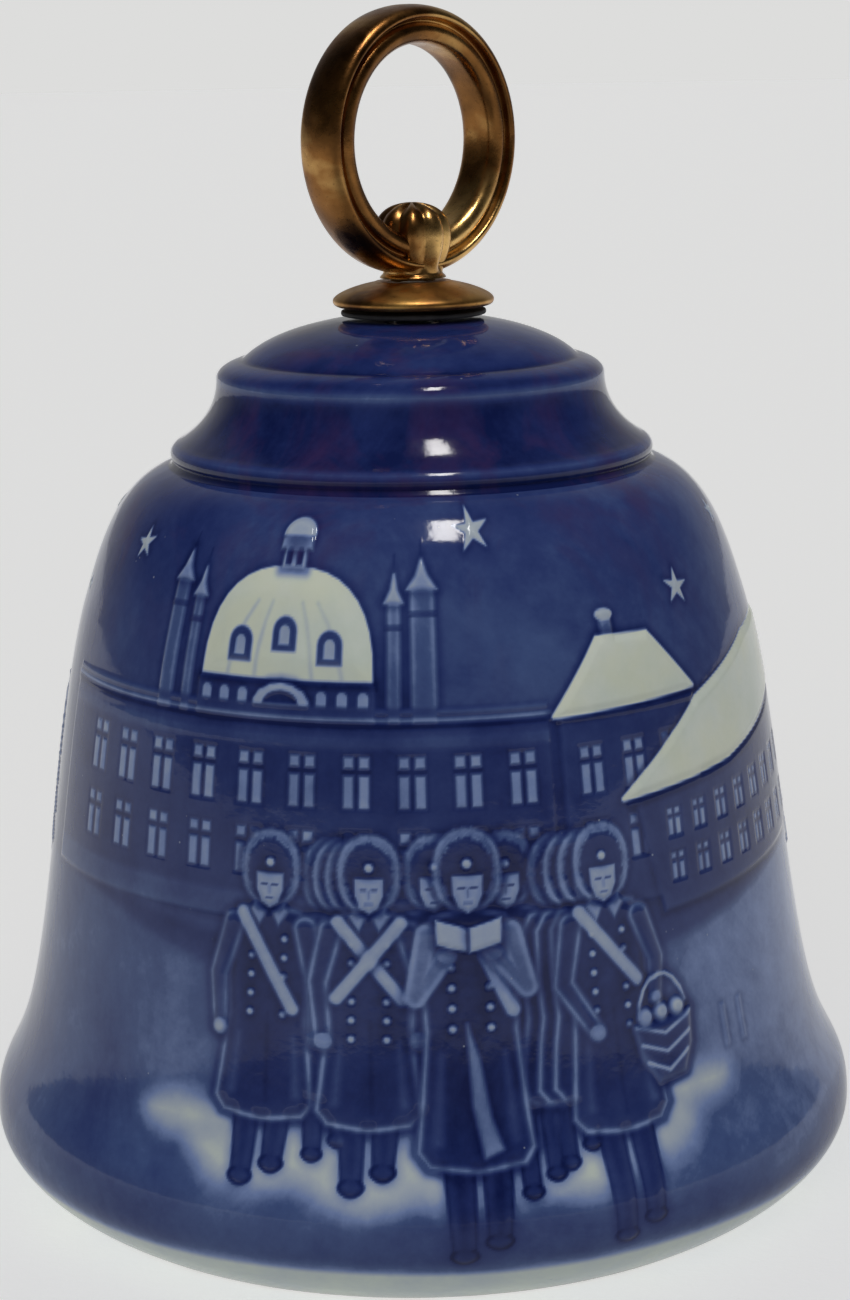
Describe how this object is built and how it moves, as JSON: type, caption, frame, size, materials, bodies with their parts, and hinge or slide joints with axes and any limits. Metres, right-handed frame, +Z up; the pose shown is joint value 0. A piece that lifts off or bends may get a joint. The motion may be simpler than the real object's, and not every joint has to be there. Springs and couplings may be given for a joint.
{
  "type": "porcelain hand bell",
  "caption": "Small glazed porcelain bell with a moulded picture in relief, a gilded ring handle bolted through the crown, and a porcelain clapper on a wire chain.",
  "frame": {"origin": "centre of the foot ring, on the surface that the bell stands on", "axes": "+Z up through the ring handle, -Y towards the front of the moulded picture, +X to the picture's right"},
  "size_m": [0.09, 0.09, 0.1196],
  "materials": {
    "cobalt_porcelain": "clear glaze over cobalt blue underglaze on white porcelain, with an unglazed foot ring",
    "white_porcelain": "clear glaze on white porcelain",
    "gilded_brass": "polished cast brass with gold wash, tarnished brown",
    "plain_brass": "drawn and turned brass, dulled",
    "zinc_steel": "zinc plated thread",
    "red_felt": "pressed wool felt",
    "black_rubber": "matt black rubber"
  },
  "bodies": {
    "bell": {"porcelain_bell": "cobalt_porcelain", "crown_gasket": "black_rubber", "crown_flange": "gilded_brass", "handle_clasp": "gilded_brass", "handle_ring": "gilded_brass", "threaded_stud": "zinc_steel", "inner_felt_washer": "red_felt", "inner_washer": "plain_brass", "hex_nut": "plain_brass", "hanger_eye": "plain_brass"},
    "link_1": {"chain_link_1": "plain_brass"},
    "link_2": {"chain_link_2": "plain_brass"},
    "link_3": {"chain_link_3": "plain_brass"},
    "link_4": {"chain_link_4": "plain_brass"},
    "link_5": {"chain_link_5": "plain_brass"},
    "clapper": {"clapper_eye": "plain_brass", "clapper_cap": "plain_brass", "clapper_ball": "white_porcelain", "clapper_rivet": "plain_brass"}
  },
  "joints": [
    {"name": "link_1_swing", "type": "hinge", "parent": "bell", "child": "link_1", "pos_m": [0.00045, 0, 0.0686], "axis": [1, 0, 0], "range_deg": [-10, 10]},
    {"name": "link_2_swing", "type": "hinge", "parent": "link_1", "child": "link_2", "pos_m": [0.00045, 0, 0.06205], "axis": [0, 1, 0], "range_deg": [-10, 10]},
    {"name": "link_3_swing", "type": "hinge", "parent": "link_2", "child": "link_3", "pos_m": [0.00045, 0, 0.05545], "axis": [1, 0, 0], "range_deg": [-10, 10]},
    {"name": "link_4_swing", "type": "hinge", "parent": "link_3", "child": "link_4", "pos_m": [0.00045, 0, 0.04885], "axis": [0, 1, 0], "range_deg": [-10, 10]},
    {"name": "link_5_swing", "type": "hinge", "parent": "link_4", "child": "link_5", "pos_m": [0.00045, 0, 0.04225], "axis": [1, 0, 0], "range_deg": [-10, 10]},
    {"name": "clapper_swing", "type": "hinge", "parent": "link_5", "child": "clapper", "pos_m": [0.00045, 0, 0.03565], "axis": [0, 1, 0], "range_deg": [-10, 10]}
  ]
}
